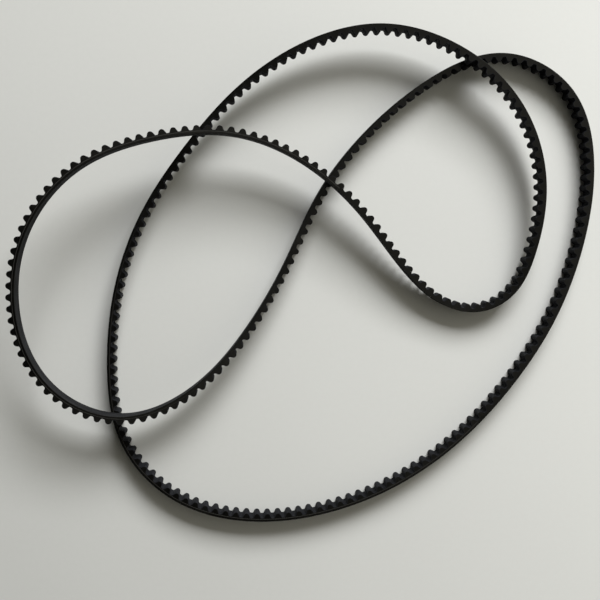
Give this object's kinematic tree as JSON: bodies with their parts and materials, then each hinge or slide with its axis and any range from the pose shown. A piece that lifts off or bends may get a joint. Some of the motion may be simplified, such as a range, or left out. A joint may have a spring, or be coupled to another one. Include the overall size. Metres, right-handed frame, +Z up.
{
  "type": "timing belt",
  "caption": "Endless rubber timing belt with rounded teeth, standing loosely on its edge in big curves that cross over one another.",
  "frame": {"origin": "under the middle of the belt's plan box, on the surface that the belt stands on", "axes": "+Z up, across the belt's width; +X along the longer side of its plan; the raised left-hand loop is at -X"},
  "size_m": [0.2648, 0.2282, 0.0335],
  "materials": {
    "backing_rubber": "ground matt black rubber",
    "glass_fibre_cord": "treated glass fibre cord",
    "tooth_rubber": "cut matt black rubber",
    "nylon_facing": "dark woven nylon, matt"
  },
  "bodies": {
    "root": {"backing": "backing_rubber", "tension_cord": "glass_fibre_cord", "tooth_body": "tooth_rubber", "tooth_facing": "nylon_facing"}
  },
  "joints": []
}
